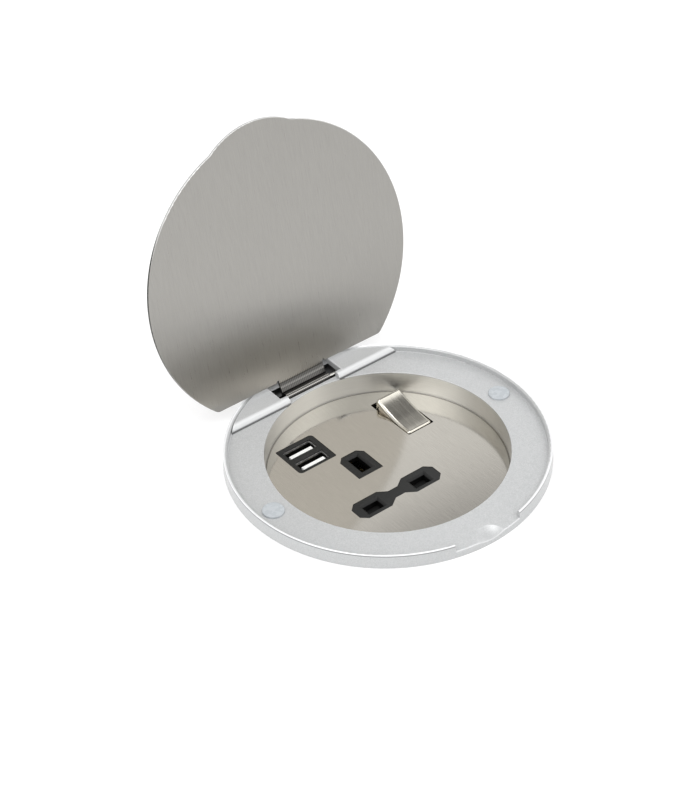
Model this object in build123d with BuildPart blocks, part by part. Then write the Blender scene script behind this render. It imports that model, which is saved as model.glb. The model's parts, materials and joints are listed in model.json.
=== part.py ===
from build123d import *
from math import atan2, asin, cos, degrees, radians, sin, sqrt
import os

os.makedirs("parts", exist_ok=True)

# ---------------------------------------------------------------------------
# Recessed wall socket with a hinged round lid: one 13 A switched outlet and a
# twin USB-A charger at the bottom of a shallow well. Millimetres.
# Z = 0 is the flange's seating face, +Z comes out of the wall towards the
# user, +Y points at the hinge, +X runs from the live to the neutral aperture.
# The lid stands open on its stop.
# ---------------------------------------------------------------------------

# flange and bezel ring
r_out_base = 61.4      # flange outer radius at the seating face
r_out_top = 61.1       # and at the top of its rim
z_seat = 2.9           # flat ledge that the lid drops onto
z_rim = 5.75           # crest of the raised rim
r_rim_in = 59.6        # inside of the raised rim
z_rim_in = 5.0         # where its top starts to round up to the crest
r_well = 46.0          # mouth of the well
z_lip = 2.5            # underside of the ledge's lip over the steel liner
neck_r_in = 46.6
neck_r_out = 49.5
z_neck = -9.5
tab_turn = -2.4        # degrees that the tab, gap and scoop sit off the Y axis
notch_half = 14.4      # gap in the rim for the lid's tab
scoop_r, scoop_depth, scoop_y = 5.75, 1.05, -60.6

# well
z_plate = -6.5         # top of the steel face plate
t_plate = 1.0
liner_in, liner_out = 46.05, 46.55

# hinge
ax_y, ax_z = 49.8, 1.6
pin_r = 0.9
eye_r, eye_bore = 2.1, 0.93
tongue_half = 10.4
open_deg = 101.7       # from shut to the open stop
bar_y, bar_r = 44.1, 2.4   # front of the covers' rolled edge, and its radius
cover_z, cover_r = 5.4, 59.25

# lid, in its shut position
lid_r = 58.4
lid_z0, lid_t = 3.8, 1.2
lid_chord = 43.5
tab_c, tab_r = -29.0, 32.1

# outlet: 22.23 mm pin pattern
pitch = 22.23
out_x, out_y = -6.3, -13.0
L_x, N_x = out_x - pitch / 2, out_x + pitch / 2
E_y = out_y + pitch
ln_w, ln_h = 6.9, 4.3      # live and neutral apertures
e_w, e_h = 4.3, 8.5        # earth aperture

# USB window
usb_x, usb_y, usb_w, usb_h = -18.9, 26.1, 16.9, 16.0
port_dy = 3.9
port_w, port_h, port_wall = 12.7, 5.1, 0.25

# rocker switch
rk_x, rk_y = 24.3, 21.5
rk_z = z_plate - 3.5
rk_tilt = 12.6
rk_half, rk_w = 10.5, 11.7
slot_w, slot_l = 12.3, 23.6

# behind the plate
z_fm1 = z_plate - t_plate      # front moulding, top
z_fm0 = z_fm1 - 2.0            # and bottom
z_floor1, z_floor0 = -25.4, -27.4
box_r_out, box_r_in = 46.5, 44.9
z_box_floor = -44.0


# ---------------------------------------------------------------------------
# 1 bezel ring: cast, painted, carries everything
# ---------------------------------------------------------------------------
with BuildPart() as bezel_ring:
    with BuildSketch(Plane.XZ):
        with BuildLine():
            Polyline((r_out_base, 0), (r_out_base, 0.5), (r_out_top, z_rim))
            ThreePointArc((r_out_top, z_rim), (60.3, 5.52), (r_rim_in, z_rim_in))
            Polyline(
                (r_rim_in, z_rim_in), (r_rim_in, z_seat), (r_well, z_seat),
                (r_well, z_lip), (neck_r_in, z_lip), (neck_r_in, z_neck),
                (neck_r_out, z_neck), (neck_r_out, 0), (55.2, 0), (55.2, 0.7),
                (58.8, 0.7), (58.8, 0), (r_out_base, 0),
            )
        make_face()
    revolve(axis=Axis.Z)
    rings = bezel_ring.edges().filter_by(GeomType.CIRCLE)
    fillet(rings.filter_by_position(Axis.Z, z_rim - 0.01, z_rim + 0.01), 0.35)
    rings = bezel_ring.edges().filter_by(GeomType.CIRCLE).filter_by_position(
        Axis.Z, z_seat - 0.01, z_seat + 0.01).sort_by(lambda e: e.radius)
    fillet(rings[-1], 0.3)
    rings = bezel_ring.edges().filter_by(GeomType.CIRCLE).filter_by_position(
        Axis.Z, z_seat - 0.01, z_seat + 0.01).sort_by(lambda e: e.radius)
    fillet(rings[0], 0.22)
    # boss under the hinge pocket and the three lugs for the back box
    with BuildSketch(Plane.XY):
        with Locations((0, 50.15)):
            Rectangle(26.8, 6.3)
    extrude(amount=-1.9)
    with BuildSketch(Plane.XY):
        with PolarLocations(51.0, 3, start_angle=30):
            Circle(4.0)
    extrude(amount=z_neck)
    with BuildSketch(Plane.XY.offset(z_neck)):
        Circle(neck_r_in)
    extrude(amount=z_lip - z_neck, mode=Mode.SUBTRACT)
    # screw holes for the back box, blind
    with BuildSketch(Plane.XY.offset(z_neck)):
        with PolarLocations(51.0, 3, start_angle=30):
            Circle(1.3)
    extrude(amount=8.5, mode=Mode.SUBTRACT)
    # pocket for the lid's rolled eye: shallow tray, deeper trench, pin groove
    with BuildSketch(Plane.XY.offset(1.3)):
        with Locations((0, (47.1 + 55.6) / 2)):
            Rectangle(29.2, 55.6 - 47.1)
    extrude(amount=6, mode=Mode.SUBTRACT)
    with BuildSketch(Plane.XY.offset(-0.75)):
        with Locations((0, (47.1 + 52.4) / 2)):
            Rectangle(24.4, 52.4 - 47.1)
    extrude(amount=6, mode=Mode.SUBTRACT)
    with BuildSketch(Plane.YZ.offset(-18.4)):
        with Locations((ax_y, ax_z)):
            Circle(0.92)
        with Locations((ax_y, ax_z + 1.5)):
            Rectangle(1.84, 3.0)
    extrude(amount=36.8, mode=Mode.SUBTRACT)
    # open stop behind the eye
    with BuildSketch(Plane.XY.offset(1.2)):
        with Locations((0, (53.85 + 55.8) / 2)):
            Rectangle(14.0, 55.8 - 53.85)
    extrude(amount=4.9 - 1.2)
    # rim gap for the lid's tab, its floor's outer edge rounded
    tab_plane = Plane.XY.rotated((0, 0, tab_turn))
    with BuildSketch(tab_plane.offset(z_seat)):
        with Locations((0, -60.0)):
            Rectangle(2 * notch_half, 8.0)
    extrude(amount=4, mode=Mode.SUBTRACT)
    lip = [e for e in bezel_ring.edges().filter_by(GeomType.CIRCLE)
           if abs(e.center().Z - z_seat) < 0.01 and e.radius > 61.0]
    fillet(lip, 0.45)
    # finger scoop: a shallow dish through the ledge and the outer face
    sr = (scoop_depth**2 + scoop_r**2) / (2 * scoop_depth)
    with Locations(tab_plane.offset(z_seat - scoop_depth + sr)):
        with Locations((0.45, scoop_y, 0)):
            Sphere(sr, mode=Mode.SUBTRACT)
    # holes for the hinge cover screws, from behind
    with BuildSketch(Plane.XY):
        with Locations((20.6, 48.2), (26, 45.9), (-20.6, 48.2), (-26, 45.9)):
            Circle(2.1)
    extrude(amount=1.2, mode=Mode.SUBTRACT)
    with BuildSketch(Plane.XY):
        with Locations((20.6, 48.2), (26, 45.9), (-20.6, 48.2), (-26, 45.9)):
            Circle(1.05)
    extrude(amount=3.5, mode=Mode.SUBTRACT)
    # blind holes for the clamp screws' tips
    with BuildSketch(Plane.XY):
        with Locations((51.7, 0), (-51.7, 0)):
            Circle(2.0)
    extrude(amount=1.4, mode=Mode.SUBTRACT)
bezel_ring.part.label = "bezel_ring"
export_step(bezel_ring.part, "parts/bezel_ring.step")

# 2 flange gasket in its groove
with BuildPart() as flange_gasket:
    with BuildSketch(Plane.XY):
        Circle(58.6)
        Circle(55.4, mode=Mode.SUBTRACT)
    extrude(amount=0.7)
flange_gasket.part.label = "flange_gasket"
export_step(flange_gasket.part, "parts/flange_gasket.step")

# 3 well liner: thin brushed steel band
with BuildPart() as well_liner:
    with BuildSketch(Plane.XY.offset(z_plate)):
        Circle(liner_out)
        Circle(liner_in, mode=Mode.SUBTRACT)
    extrude(amount=z_lip - 0.05 - z_plate)
well_liner.part.label = "well_liner"
export_step(well_liner.part, "parts/well_liner.step")


# ---------------------------------------------------------------------------
# outlines shared by the face plate's windows and the black inserts
# ---------------------------------------------------------------------------
def dogbone(g=0.0):
    """Live and neutral insert outline, grown by g."""
    cx, cy = out_x + 0.1, out_y + 0.25
    hw, hh = 19.1 + g, 4.75 + g
    pts = [(-hw, -hh + 2.4), (-hw + 2.6, -hh), (-5.9, -hh), (-2.2, -2.2 - g),
           (2.2, -2.2 - g), (5.9, -hh), (hw - 2.6, -hh), (hw, -hh + 2.4),
           (hw, hh - 2.4), (hw - 2.6, hh), (5.9, hh), (2.2, 2.2 + g),
           (-2.2, 2.2 + g), (-5.9, hh), (-hw + 2.6, hh), (-hw, hh - 2.4)]
    return [(cx + a, cy + b) for a, b in pts]


def house(g=0.0):
    """Earth insert outline, its two far corners cut off, grown by g."""
    cx, cy = out_x - 0.3, 8.7
    hw, hh = 5.6 + g, 6.85 + g
    pts = [(-hw, -hh), (hw, -hh), (hw, hh - 2.3), (hw - 2.3, hh),
           (-hw + 2.3, hh), (-hw, hh - 2.3)]
    return [(cx + a, cy + b) for a, b in pts]


# 4 face plate
def usb_outline(grow):
    """Charger frame's outline: two opposite corners are rounder than the others."""
    with BuildSketch() as outline:
        with Locations((usb_x, usb_y)):
            Rectangle(usb_w + grow, usb_h + grow)
        fillet([v for v in outline.vertices()
                if (v.X - usb_x) * (v.Y - usb_y) > 0], 1.5 + grow / 2)
        fillet([v for v in outline.vertices()
                if abs(abs(v.X - usb_x) - (usb_w + grow) / 2) < 1e-6
                and abs(abs(v.Y - usb_y) - (usb_h + grow) / 2) < 1e-6], 0.5 + grow / 2)
    return outline.sketch


usb_frame, usb_window = usb_outline(0.0), usb_outline(0.2)

with BuildPart() as face_plate:
    with BuildSketch(Plane.XY.offset(z_fm1)):
        Circle(46.5)
        with BuildLine():
            Polyline(*dogbone(0.12), close=True)
        make_face(mode=Mode.SUBTRACT)
        with BuildLine():
            Polyline(*house(0.12), close=True)
        make_face(mode=Mode.SUBTRACT)
        add(usb_window, mode=Mode.SUBTRACT)
        with Locations((rk_x, rk_y)):
            RectangleRounded(slot_w, slot_l, 0.5, mode=Mode.SUBTRACT)
    extrude(amount=t_plate)
face_plate.part.label = "face_plate"
export_step(face_plate.part, "parts/face_plate.step")

posts = [(-36, -19.5), (36, -19.5), (-39, 4), (39, 0)]

# 5 front moulding: black, its two raised pads come up through the plate
with BuildPart() as front_moulding:
    with BuildSketch(Plane.XY.offset(z_fm0)):
        Circle(46.3)
    extrude(amount=z_fm1 - z_fm0)
    with BuildSketch(Plane.XY.offset(z_fm1 - 0.5)):
        with BuildLine():
            Polyline(*dogbone(0.0), close=True)
        make_face()
    extrude(amount=t_plate + 0.5 - 0.12)
    with BuildSketch(Plane.XY.offset(z_fm1 - 0.5)):
        with BuildLine():
            Polyline(*house(0.0), close=True)
        make_face()
    extrude(amount=t_plate + 0.5 - 0.12)
    # apertures with flared mouths
    top = z_plate - 0.12
    with BuildSketch(Plane.XY.offset(z_fm0)):
        with Locations((L_x, out_y), (N_x, out_y)):
            Rectangle(ln_w, ln_h)
        with Locations((out_x, E_y)):
            Rectangle(e_w, e_h)
    extrude(amount=5, mode=Mode.SUBTRACT)
    for cx, cy, w, h in ((L_x, out_y, ln_w, ln_h), (N_x, out_y, ln_w, ln_h),
                         (out_x, E_y, e_w, e_h)):
        with BuildSketch(Plane.XY.offset(top)):
            with Locations((cx, cy)):
                Rectangle(w + 1.7, h + 1.7)
        with BuildSketch(Plane.XY.offset(top - 0.85)):
            with Locations((cx, cy)):
                Rectangle(w, h)
        loft(mode=Mode.SUBTRACT)
    # windows for the charger and the rocker
    with BuildSketch(Plane.XY.offset(z_fm0)):
        add(usb_window)
        with Locations((rk_x, rk_y)):
            Rectangle(slot_w, slot_l)
    extrude(amount=3, mode=Mode.SUBTRACT)
    # cheeks for the rocker's pin
    with BuildSketch(Plane.XY.offset(-13.2)):
        with Locations((rk_x - 7.1, rk_y), (rk_x + 7.1, rk_y)):
            Rectangle(1.8, 9.0)
    extrude(amount=13.2 + z_fm0 + 0.5)
    with BuildSketch(Plane.YZ.offset(rk_x - 8.5)):
        with Locations((rk_y, rk_z)):
            Circle(1.27)
    extrude(amount=17.0, mode=Mode.SUBTRACT)
    # wall that the shutter spring pushes against
    with BuildSketch(Plane.XY.offset(-11.5)):
        with Locations((out_x, -30.4)):
            Rectangle(7.0, 1.2)
    extrude(amount=11.5 + z_fm0 + 0.3)
    # blind holes for the moulding screws
    with BuildSketch(Plane.XY.offset(z_fm0)):
        with Locations(*posts):
            Circle(1.45)
    extrude(amount=1.4, mode=Mode.SUBTRACT)
front_moulding.part.label = "front_moulding"
export_step(front_moulding.part, "parts/front_moulding.step")

# ---------------------------------------------------------------------------
# 6-10 twin USB charger
# ---------------------------------------------------------------------------
ports = [(usb_x, usb_y + port_dy), (usb_x, usb_y - port_dy)]
with BuildPart() as usb_bezel:
    with BuildSketch(Plane.XY.offset(z_fm0)):
        add(usb_frame)
    extrude(amount=z_plate - 0.08 - z_fm0)
    with BuildSketch(Plane.XY.offset(z_fm0 - 1.2)):
        with Locations((usb_x, usb_y)):
            Rectangle(usb_w + 1.7, usb_h + 1.5)
    extrude(amount=1.2)
    with BuildSketch(Plane.XY.offset(z_fm0 - 1.2)):
        with Locations(*ports):
            RectangleRounded(port_w + 0.1, port_h + 0.1, 0.35)
    extrude(amount=6, mode=Mode.SUBTRACT)
    for px, py in ports:
        with BuildSketch(Plane.XY.offset(z_plate - 0.08)):
            with Locations((px, py)):
                Rectangle(port_w + 0.5, port_h + 0.5)
        with BuildSketch(Plane.XY.offset(z_plate - 0.28)):
            with Locations((px, py)):
                Rectangle(port_w + 0.1, port_h + 0.1)
        loft(mode=Mode.SUBTRACT)
usb_bezel.part.label = "usb_bezel"
export_step(usb_bezel.part, "parts/usb_bezel.step")

z_pcb1 = -20.5
for tag, (px, py) in zip(("upper", "lower"), ports):
    with BuildPart() as shell:
        with BuildSketch(Plane.XY.offset(z_pcb1)):
            with Locations((px, py)):
                RectangleRounded(port_w, port_h, 0.4)
                Rectangle(port_w - 2 * port_wall, port_h - 2 * port_wall, mode=Mode.SUBTRACT)
        extrude(amount=-7.35 - z_pcb1)
        with BuildSketch(Plane.XY.offset(z_pcb1)):
            with Locations((px, py)):
                Rectangle(port_w - 0.5, port_h - 0.5)
        extrude(amount=0.5)
    shell.part.label = f"usb_shell_{tag}"
    export_step(shell.part, f"parts/usb_shell_{tag}.step")
    with BuildPart() as tongue:
        with BuildSketch(Plane.XY.offset(z_pcb1 + 0.5)):
            with Locations((px, py)):
                Rectangle(port_w - 0.9, port_h - 0.9)
        extrude(amount=1.5)
        with BuildSketch(Plane.XY.offset(z_pcb1 + 0.5)):
            with Locations((px, py - 0.85)):
                Rectangle(10.2, 1.7)
        extrude(amount=-7.8 - (z_pcb1 + 0.5))
    tongue.part.label = f"usb_tongue_{tag}"
    export_step(tongue.part, f"parts/usb_tongue_{tag}.step")

with BuildPart() as usb_contacts:
    for px, py in ports:
        with BuildSketch(Plane.XY.offset(-16.5)):
            with Locations((px, py - 0.85 + 0.85 + 0.1)):
                with Locations((-3.5, 0), (-1.0, 0), (1.0, 0), (3.5, 0)):
                    Rectangle(1.0, 0.2)
        extrude(amount=8.0)
usb_contacts.part.label = "usb_contacts"
export_step(usb_contacts.part, "parts/usb_contacts.step")

with BuildPart() as usb_circuit_board:
    with BuildSketch(Plane.XY.offset(z_pcb1 - 1.6)):
        with Locations((-17.5, 23.75)):
            RectangleRounded(21.0, 19.5, 1.0)
    extrude(amount=1.6)
usb_circuit_board.part.label = "usb_circuit_board"
export_step(usb_circuit_board.part, "parts/usb_circuit_board.step")

z_pb = z_pcb1 - 1.6
with BuildPart() as usb_transformer:
    with BuildSketch(Plane.XY.offset(z_pb - 11.0)):
        with Locations((-20.5, 20.0)):
            Rectangle(12.5, 9.5)
    extrude(amount=11.0)
    fillet(usb_transformer.edges().filter_by(Axis.Z), 0.8)
    with BuildSketch(Plane.XY.offset(z_pb - 8.5)):
        with Locations((-20.5, 20.0)):
            Rectangle(10.5, 11.5)
    extrude(amount=6.0)
usb_transformer.part.label = "usb_transformer"
export_step(usb_transformer.part, "parts/usb_transformer.step")

with BuildPart() as usb_capacitors:
    for cx, cy, r, h in ((-11.5, 29.0, 3.6, 12.0), (-20.5, 29.6, 2.5, 9.0)):
        with BuildSketch(Plane.XY.offset(z_pb - h)):
            with Locations((cx, cy)):
                Circle(r)
        extrude(amount=h)
usb_capacitors.part.label = "usb_capacitors"
export_step(usb_capacitors.part, "parts/usb_capacitors.step")

with BuildPart() as usb_controller_chip:
    with BuildSketch(Plane.XY.offset(z_pb - 1.5)):
        with Locations((-10.6, 18.4)):
            Rectangle(4.9, 3.9)
    extrude(amount=1.5)
usb_controller_chip.part.label = "usb_controller_chip"
export_step(usb_controller_chip.part, "parts/usb_controller_chip.step")

# ---------------------------------------------------------------------------
# 11-13 safety shutter behind the apertures, its spring and keeper plate
# ---------------------------------------------------------------------------
z_sh1, z_sh0 = -9.8, -11.4
with BuildPart() as shutter:
    with BuildSketch(Plane.XY.offset(z_sh0)):
        with Locations((out_x, -13.0)):
            Rectangle(33.4, 5.8)
        with Locations((out_x, -1.5)):
            Rectangle(7.0, 18.0)
    extrude(amount=z_sh1 - z_sh0)
    # ramp that the earth pin pushes
    with BuildSketch(Plane.YZ.offset(out_x - 4)):
        with BuildLine():
            Polyline((7.6, z_sh0 - 0.2), (7.6, z_sh0 + 0.3), (6.1, z_sh1 + 0.2),
                     (9.0, z_sh1 + 0.2), (9.0, z_sh0 - 0.2), close=True)
        make_face()
    extrude(amount=8, mode=Mode.SUBTRACT)
shutter.part.label = "shutter"
export_step(shutter.part, "parts/shutter.step")


with BuildPart() as shutter_spring:
    for i in range(11):
        with Locations(Location((out_x, -28.9 + i * 1.24, -10.55), (90, 0, 0))):
            Torus(0.6, 0.16)
    with Locations((out_x + 0.6, -28.9 + 6.2, -10.55)):
        Box(0.2, 12.4, 0.2)
shutter_spring.part.label = "shutter_spring"
export_step(shutter_spring.part, "parts/shutter_spring.step")

with BuildPart() as shutter_keeper:
    with BuildSketch(Plane.XY.offset(-12.3)):
        with Locations((out_x, -8.5)):
            Rectangle(37.0, 46.0)
        with Locations((L_x, out_y), (N_x, out_y)):
            Rectangle(8.2, 6.6, mode=Mode.SUBTRACT)
        with Locations((out_x, E_y)):
            Rectangle(6.6, 9.6, mode=Mode.SUBTRACT)
    extrude(amount=0.7)
    # side rails that stand the keeper off the moulding
    with BuildSketch(Plane.XY.offset(-12.3)):
        with Locations((out_x - 17.75, -14.0), (out_x + 17.75, -14.0)):
            Rectangle(1.5, 30.0)
        with Locations((out_x - 7.0, 9.0), (out_x + 7.0, 9.0)):
            Rectangle(2.0, 10.0)
    extrude(amount=12.3 + z_fm0)
shutter_keeper.part.label = "shutter_keeper"
export_step(shutter_keeper.part, "parts/shutter_keeper.step")

# ---------------------------------------------------------------------------
# 14-18 brass contacts with their terminals behind the floor
# ---------------------------------------------------------------------------
for tag, cx in (("live", L_x), ("neutral", N_x)):
    sgn = -1 if tag == "live" else 1
    tx = cx + sgn * 8.0
    with BuildPart() as contact:
        for dy in (-2.35, 2.35):
            with BuildSketch(Plane.XY.offset(-24.6)):
                with Locations((cx, out_y + dy)):
                    Rectangle(6.0, 0.6)
            extrude(amount=12.0)
        with BuildSketch(Plane.XY.offset(z_floor1)):
            with Locations((cx, out_y)):
                Rectangle(6.0, 5.3)
            with Locations(((cx + tx) / 2, out_y)):
                Rectangle(abs(tx - cx) + 4.0, 3.6)
        extrude(amount=0.8)
        with BuildSketch(Plane.XY.offset(z_floor0)):
            with Locations((tx, out_y)):
                Rectangle(3.0, 2.4)
        extrude(amount=2.4)
    contact.part.label = f"{tag}_contact"
    export_step(contact.part, f"parts/{tag}_contact.step")

with BuildPart() as earth_contact:
    for dx in (-2.35, 2.35):
        with BuildSketch(Plane.XY.offset(-24.6)):
            with Locations((out_x + dx, E_y)):
                Rectangle(0.6, 7.0)
        extrude(amount=12.0)
    with BuildSketch(Plane.XY.offset(z_floor1)):
        with Locations((out_x, E_y)):
            Rectangle(5.3, 7.0)
        with Locations((out_x, E_y - 6.0)):
            Rectangle(3.6, 9.0)
    extrude(amount=0.8)
    with BuildSketch(Plane.XY.offset(z_floor0)):
        with Locations((out_x, E_y - 8.5)):
            Rectangle(2.4, 3.0)
    extrude(amount=2.4)
earth_contact.part.label = "earth_contact"
export_step(earth_contact.part, "parts/earth_contact.step")

terms = {"live": (L_x - 8.0, out_y), "neutral": (N_x + 8.0, out_y),
         "earth": (out_x, E_y - 8.5)}
for tag, (tx, ty) in terms.items():
    with BuildPart() as term:
        with BuildSketch(Plane.XY.offset(-37.4)):
            with Locations((tx, ty)):
                Rectangle(9.0, 9.0)
        extrude(amount=10.0)
        chamfer(term.edges().filter_by(Axis.Z), 0.8)
        # wire bore along Y and the screw's threaded hole from behind
        with BuildSketch(Plane.XZ.offset(-ty - 6)):
            with Locations((tx, -31.4)):
                Circle(2.4)
        extrude(amount=12, both=True, mode=Mode.SUBTRACT)
        with BuildSketch(Plane.XY.offset(-37.4)):
            with Locations((tx, ty)):
                Circle(1.8)
        extrude(amount=5.0, mode=Mode.SUBTRACT)
    term.part.label = f"{tag}_terminal"
    export_step(term.part, f"parts/{tag}_terminal.step")

with BuildPart() as terminal_screws:
    for tx, ty in terms.values():
        with BuildSketch(Plane.XY.offset(-38.6)):
            with Locations((tx, ty)):
                Circle(1.75)
        extrude(amount=5.6)
        with BuildSketch(Plane.XY.offset(-38.6)):
            with Locations((tx, ty)):
                Rectangle(3.6, 0.6)
        extrude(amount=0.7, mode=Mode.SUBTRACT)
terminal_screws.part.label = "terminal_screws"
export_step(terminal_screws.part, "parts/terminal_screws.step")

# 19 rear moulding: floor with four posts, open behind the charger
with BuildPart() as rear_moulding:
    with BuildSketch(Plane.XY.offset(z_floor0)):
        Circle(44.5)
        with Locations((-18.5, 29.5)):
            Rectangle(28.0, 33.0, mode=Mode.SUBTRACT)
        for tx, ty in (terms["live"], terms["neutral"]):
            with Locations((tx, ty)):
                Rectangle(3.2, 2.6, mode=Mode.SUBTRACT)
        with Locations(terms["earth"]):
            Rectangle(2.6, 3.2, mode=Mode.SUBTRACT)
    extrude(amount=2.0)
    with BuildSketch(Plane.XY.offset(z_floor1 - 0.5)):
        with Locations(*posts):
            Circle(3.0)
    extrude(amount=z_fm0 - z_floor1 + 0.5)
    with BuildSketch(Plane.XY.offset(z_floor0)):
        with Locations(*posts):
            Circle(1.45)
    extrude(amount=20, mode=Mode.SUBTRACT)
rear_moulding.part.label = "rear_moulding"
export_step(rear_moulding.part, "parts/rear_moulding.step")

with BuildPart() as moulding_screws:
    with BuildSketch(Plane.XY.offset(z_floor0 - 1.8)):
        with Locations(*posts):
            Circle(2.8)
    extrude(amount=1.8)
    with BuildSketch(Plane.XY.offset(z_floor0)):
        with Locations(*posts):
            Circle(1.4)
    extrude(amount=19.2)
    with BuildSketch(Plane.XY.offset(z_floor0 - 1.8)):
        with Locations(*posts):
            Rectangle(3.6, 0.8)
            Rectangle(0.8, 3.6)
    extrude(amount=1.0, mode=Mode.SUBTRACT)
moulding_screws.part.label = "moulding_screws"
export_step(moulding_screws.part, "parts/moulding_screws.step")

# ---------------------------------------------------------------------------
# 20-27 rocker switch and what it works
# ---------------------------------------------------------------------------
# Rocker coordinates: u along Y, w up, about the pivot, tilted by rk_tilt.
ct, st = cos(radians(rk_tilt)), sin(radians(rk_tilt))
rk_plane = Plane(origin=(rk_x - rk_w / 2, rk_y, rk_z),
                 x_dir=(0, ct, st), z_dir=(1, 0, 0))
face_top = 6.35        # height of the two raised ends above the pivot
face_dip = 5.05        # and of the middle of the hollow face
with BuildPart() as rocker_cap:
    with BuildSketch(rk_plane):
        with BuildLine():
            ThreePointArc((-rk_half, face_top), (0, face_dip), (rk_half, face_top))
            Polyline((rk_half, face_top), (rk_half - 0.6, 0.6), (rk_half - 1.8, 0.6),
                     (rk_half - 1.8, 3.6), (-rk_half + 1.8, 3.6),
                     (-rk_half + 1.8, 0.6), (-rk_half + 0.6, 0.6),
                     (-rk_half, face_top))
        make_face()
    extrude(amount=rk_w)
    long_edges = [e for e in rocker_cap.edges().filter_by(Axis.X)
                  if (e.center() - Vector(rk_x, rk_y, rk_z)).length > 11.0]
    fillet(long_edges, 0.95)
    side_edges = [e for e in rocker_cap.edges()
                  if e.geom_type == GeomType.CIRCLE and e.length > 15]
    fillet(side_edges, 1.15)
rocker_cap.part.label = "rocker_cap"
export_step(rocker_cap.part, "parts/rocker_cap.step")

carrier_plane = Plane(origin=(rk_x - 5.5, rk_y, rk_z), x_dir=(0, ct, st), z_dir=(1, 0, 0))
tail_plane = Plane(origin=(rk_x - 2.6, rk_y, rk_z), x_dir=(0, ct, st), z_dir=(1, 0, 0))
down_plane = Plane(origin=(rk_x, rk_y, rk_z), x_dir=(1, 0, 0), z_dir=(0, -st, ct))
with BuildPart() as rocker_carrier:
    with BuildSketch(carrier_plane):
        with BuildLine():
            Polyline((-8.3, 3.6), (8.3, 3.6), (8.3, 2.0), (3.6, -2.4),
                     (-3.6, -2.4), (-8.3, 2.0), close=True)
        make_face()
    extrude(amount=11.0)
    with BuildSketch(tail_plane):
        with BuildLine():
            Polyline((-2.4, -2.0), (2.4, -2.0), (2.4, -7.2), (-2.4, -7.2), close=True)
        make_face()
    extrude(amount=5.2)
    with BuildSketch(carrier_plane):
        Circle(1.3)
    extrude(amount=11.0, mode=Mode.SUBTRACT)
    with BuildSketch(down_plane.offset(-7.2)):
        Circle(1.65)
    extrude(amount=5.4, mode=Mode.SUBTRACT)
rocker_carrier.part.label = "rocker_carrier"
export_step(rocker_carrier.part, "parts/rocker_carrier.step")

with BuildPart() as rocker_pin:
    with BuildSketch(Plane.YZ.offset(rk_x - 8.0)):
        with Locations((rk_y, rk_z)):
            Circle(1.25)
    extrude(amount=16.0)
rocker_pin.part.label = "rocker_pin"
export_step(rocker_pin.part, "parts/rocker_pin.step")

with BuildPart() as switch_plunger:
    with BuildSketch(down_plane.offset(-9.0)):
        Circle(1.55)
    extrude(amount=4.0)
    with Locations(down_plane.offset(-9.0)):
        Sphere(1.55)
    with BuildSketch(down_plane.offset(-12.0)):
        Circle(3)
    extrude(amount=2.0, mode=Mode.SUBTRACT)
switch_plunger.part.label = "switch_plunger"
export_step(switch_plunger.part, "parts/switch_plunger.step")

with BuildPart() as switch_spring:
    for i in range(5):
        with Locations(down_plane.offset(-4.7 + i * 0.64)):
            Torus(1.0, 0.17)
    with Locations(down_plane.offset(-4.7 + 1.28)):
        with Locations((1.0, 0, 0)):
            Box(0.2, 0.2, 2.56)
switch_spring.part.label = "switch_spring"
export_step(switch_spring.part, "parts/switch_spring.step")

# see-saw contact, tilted with the rocker, and its bridge and fixed contact
sw_z, sw_tilt = -21.9, 6.0
cs, ss = cos(radians(-sw_tilt)), sin(radians(-sw_tilt))
saw_plane = Plane(origin=(rk_x - 2.5, rk_y, sw_z), x_dir=(0, cs, ss), z_dir=(1, 0, 0))
with BuildPart() as moving_contact:
    with BuildSketch(saw_plane):
        with BuildLine():
            Polyline((-8.5, 0.05), (8.5, 0.05), (8.5, 1.05), (-8.5, 1.05), close=True)
        make_face()
    extrude(amount=5.0)
    saw_up = Plane(origin=(rk_x, rk_y, sw_z), x_dir=(1, 0, 0), z_dir=(0, -ss, cs))
    with BuildSketch(saw_up.offset(-0.55)):
        with Locations((0, 7.0)):
            Circle(1.5)
    extrude(amount=0.7)
moving_contact.part.label = "moving_contact"
export_step(moving_contact.part, "parts/moving_contact.step")

with BuildPart() as contact_bridge:
    with BuildSketch(Plane.YZ.offset(rk_x - 2.5)):
        with BuildLine():
            Polyline((rk_y - 3.0, z_floor1), (rk_y + 3.0, z_floor1),
                     (rk_y + 0.35, sw_z - 0.1), (rk_y - 0.35, sw_z - 0.1), close=True)
        make_face()
    extrude(amount=5.0)
contact_bridge.part.label = "contact_bridge"
export_step(contact_bridge.part, "parts/contact_bridge.step")

with BuildPart() as fixed_contact:
    with BuildSketch(Plane.XY.offset(z_floor1)):
        with Locations((rk_x, rk_y + 8.0)):
            Rectangle(5.0, 5.0)
    extrude(amount=0.8)
    with BuildSketch(Plane.XY.offset(z_floor1)):
        with Locations((rk_x, rk_y + 7.0)):
            Circle(1.7)
    extrude(amount=1.9)
fixed_contact.part.label = "fixed_contact"
export_step(fixed_contact.part, "parts/fixed_contact.step")

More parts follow.
